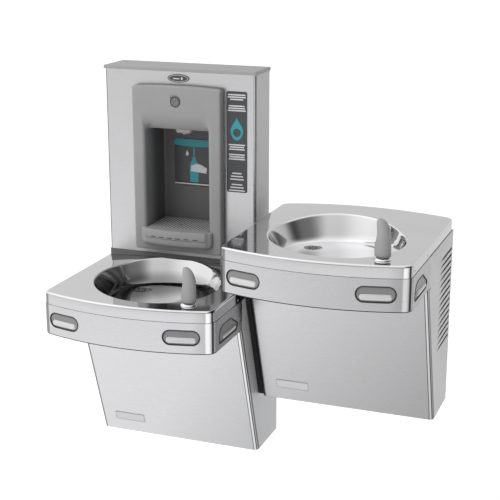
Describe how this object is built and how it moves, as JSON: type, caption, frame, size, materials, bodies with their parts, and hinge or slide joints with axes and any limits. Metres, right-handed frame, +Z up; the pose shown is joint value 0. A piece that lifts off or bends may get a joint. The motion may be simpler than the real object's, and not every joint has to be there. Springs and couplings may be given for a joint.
{
  "type": "drinking fountain",
  "caption": "Wall-hung bi-level drinking fountain in stainless steel with bowls, flexible bubbler guards, push pads and a bottle filling tower with a lift-out drip grille.",
  "frame": {"origin": "on the wall plane, midway across the pair, at the centre of the wall plate", "axes": "+X to the right as a user faces it, +Y into the wall, +Z up"},
  "size_m": [0.9528, 0.509, 1.0305],
  "materials": {
    "polished_steel": "mirror polished",
    "brushed_steel": "brushed",
    "side_panel_grey": "satin",
    "galvanised": "galvanised",
    "pad_grey": "satin moulded",
    "black_plastic": "moulded",
    "chrome": "polished",
    "guard_rubber": "matte",
    "trap_plastic": "moulded",
    "brass": "machined",
    "copper": "drawn tube",
    "screw_steel": "machined",
    "plate_metal": "satin",
    "tower_grey": "satin",
    "base_grey": "satin",
    "fascia_plastic": "moulded, fine texture",
    "liner_plastic": "moulded",
    "nozzle_plastic": "moulded",
    "button_plastic": "moulded",
    "print_dark": "printed film",
    "black_paint": "semi-gloss",
    "fin_aluminium": "plain",
    "fan_plastic": "moulded",
    "tank_foam": "foam skin",
    "box_plastic": "moulded"
  },
  "bodies": {
    "root": {"alcove_liner": "liner_plastic", "badge": "print_dark", "case_screws": "screw_steel", "chiller_tank": "tank_foam", "compressor": "black_paint", "condenser": "fin_aluminium", "control_box": "box_plastic", "cord_gland": "black_plastic", "drain_strainers": "chrome", "fan_motor": "black_paint", "fascia": "fascia_plastic", "fill_nozzle": "nozzle_plastic", "fill_tube": "copper", "fill_valve": "brass", "inlet_fitting": "brass", "joining_filler": "black_plastic", "left_apron": "brushed_steel", "left_basin": "polished_steel", "left_bubbler_body": "chrome", "left_bubbler_guard": "guard_rubber", "left_chassis": "galvanised", "left_front_panel": "brushed_steel", "left_pad_bezels": "black_plastic", "left_side_panel_left": "side_panel_grey", "left_side_panel_right": "side_panel_grey", "left_waste_trap": "trap_plastic", "left_water_tube": "copper", "left_water_valve": "brass", "name_plates": "plate_metal", "pad_switches": "black_plastic", "picture_panel": "print_dark", "right_apron": "brushed_steel", "right_basin": "polished_steel", "right_bubbler_body": "chrome", "right_bubbler_guard": "guard_rubber", "right_chassis": "galvanised", "right_front_panel": "brushed_steel", "right_pad_bezels": "black_plastic", "right_side_panel_left": "side_panel_grey", "right_side_panel_right": "side_panel_grey", "right_waste_trap": "trap_plastic", "right_water_tube": "copper", "right_water_valve": "brass", "side_decal": "print_dark", "tower_base": "base_grey", "tower_cap": "tower_grey", "tower_case": "tower_grey", "tower_front": "brushed_steel", "wall_plate": "galvanised"},
    "left_front_pad_left": {"left_front_pad_left": "pad_grey"},
    "left_side_pad_left": {"left_side_pad_left": "pad_grey"},
    "left_front_pad_right": {"left_front_pad_right": "pad_grey"},
    "left_side_pad_right": {"left_side_pad_right": "pad_grey"},
    "right_front_pad_left": {"right_front_pad_left": "pad_grey"},
    "right_side_pad_left": {"right_side_pad_left": "pad_grey"},
    "right_front_pad_right": {"right_front_pad_right": "pad_grey"},
    "right_side_pad_right": {"right_side_pad_right": "pad_grey"},
    "fill_button": {"fill_button": "button_plastic"},
    "drip_grille": {"drip_grille": "fascia_plastic"},
    "fan": {"fan_blade": "fan_plastic"}
  },
  "joints": [
    {"name": "left_front_pad_left_press", "type": "slide", "parent": "root", "child": "left_front_pad_left", "axis": [0.2352, 0.9719, 0], "range_m": [0, 0.005], "stiffness_N_per_m": 900, "springref_m": -0.003},
    {"name": "left_side_pad_left_press", "type": "slide", "parent": "root", "child": "left_side_pad_left", "axis": [1, 0, 0], "range_m": [0, 0.005], "stiffness_N_per_m": 900, "springref_m": -0.003},
    {"name": "left_front_pad_right_press", "type": "slide", "parent": "root", "child": "left_front_pad_right", "axis": [-0.2238, 0.9746, 0], "range_m": [0, 0.005], "stiffness_N_per_m": 900, "springref_m": -0.003},
    {"name": "left_side_pad_right_press", "type": "slide", "parent": "root", "child": "left_side_pad_right", "axis": [-1, 0, 0], "range_m": [0, 0.005], "stiffness_N_per_m": 900, "springref_m": -0.003},
    {"name": "right_front_pad_left_press", "type": "slide", "parent": "root", "child": "right_front_pad_left", "axis": [0.2352, 0.9719, 0], "range_m": [0, 0.005], "stiffness_N_per_m": 900, "springref_m": -0.003},
    {"name": "right_side_pad_left_press", "type": "slide", "parent": "root", "child": "right_side_pad_left", "axis": [1, 0, 0], "range_m": [0, 0.005], "stiffness_N_per_m": 900, "springref_m": -0.003},
    {"name": "right_front_pad_right_press", "type": "slide", "parent": "root", "child": "right_front_pad_right", "axis": [-0.2238, 0.9746, 0], "range_m": [0, 0.005], "stiffness_N_per_m": 900, "springref_m": -0.003},
    {"name": "right_side_pad_right_press", "type": "slide", "parent": "root", "child": "right_side_pad_right", "axis": [-1, 0, 0], "range_m": [0, 0.005], "stiffness_N_per_m": 900, "springref_m": -0.003},
    {"name": "fill_button_press", "type": "slide", "parent": "root", "child": "fill_button", "axis": [0, 1, 0], "range_m": [0, 0.004], "stiffness_N_per_m": 600, "springref_m": -0.002},
    {"name": "drip_grille_lift", "type": "slide", "parent": "root", "child": "drip_grille", "axis": [0, 0, 1], "range_m": [0, 0.05]},
    {"name": "fan_spin", "type": "hinge", "parent": "root", "child": "fan", "pos_m": [0.405, -0.092, 0.105], "axis": [1, 0, 0], "continuous": true}
  ]
}
